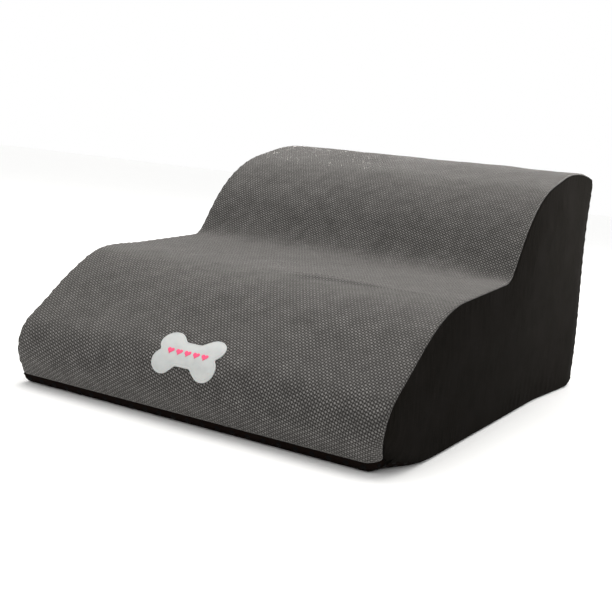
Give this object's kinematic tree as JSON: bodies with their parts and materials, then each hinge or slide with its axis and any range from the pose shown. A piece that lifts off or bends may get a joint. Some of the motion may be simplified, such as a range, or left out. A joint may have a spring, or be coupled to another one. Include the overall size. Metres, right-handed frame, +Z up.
{
  "type": "dog ramp",
  "caption": "Low two-wave foam ramp for small dogs in a grey woven zip-off cover with black sides, an anti-slip base and a bone-shaped patch on its toe.",
  "frame": {"origin": "middle of the object's footprint, on the floor", "axes": "+Z up, the toe faces -Y, the zip is at +Y, +X is to the right of someone at the toe who looks at the crest"},
  "size_m": [0.4, 0.6142, 0.2755],
  "materials": {
    "foam": "open-cell polyurethane foam, contour cut",
    "liner": "spun-bonded non-woven, white",
    "jacquard": "woven polyester jacquard with raised light dots on a dark ground",
    "black_cloth": "smooth black brushed polyester",
    "base_cloth": "black polyester with small rubbery grip dots",
    "zip_tape": "woven zip tape",
    "zip_coil": "nylon coil",
    "zip_metal": "black lacquered zinc casting",
    "patch": "soft moulded PVC, matt",
    "patch_print": "raised pink print",
    "thread": "polyester sewing thread"
  },
  "bodies": {
    "ramp": {"back_panel_lower": "black_cloth", "back_panel_upper": "black_cloth", "bone_patch": "patch", "bottom_panel": "base_cloth", "foam_core": "foam", "inner_liner": "liner", "patch_print": "patch_print", "seam_thread_base": "thread", "seam_thread_front": "thread", "seam_thread_left": "thread", "seam_thread_rear": "thread", "seam_thread_right": "thread", "side_panel_left": "black_cloth", "side_panel_right": "black_cloth", "top_panel": "jacquard", "zip_bottom_stop": "zip_coil", "zip_coil_lower": "zip_coil", "zip_coil_upper": "zip_coil", "zip_stitching_lower": "thread", "zip_stitching_upper": "thread", "zip_tape_lower": "zip_tape", "zip_tape_upper": "zip_tape", "zip_top_stops": "zip_coil"},
    "slider": {"zip_slider": "zip_metal"},
    "pull": {"zip_pull": "zip_metal"}
  },
  "joints": [
    {"name": "zip_slide", "type": "slide", "parent": "ramp", "child": "slider", "axis": [-1, 0, 0], "range_m": [0, 0.3368]},
    {"name": "pull_hinge", "type": "hinge", "parent": "slider", "child": "pull", "pos_m": [0.1684, 0.30485, 0.045], "axis": [0, 0, 1], "range_deg": [0, 180]}
  ]
}
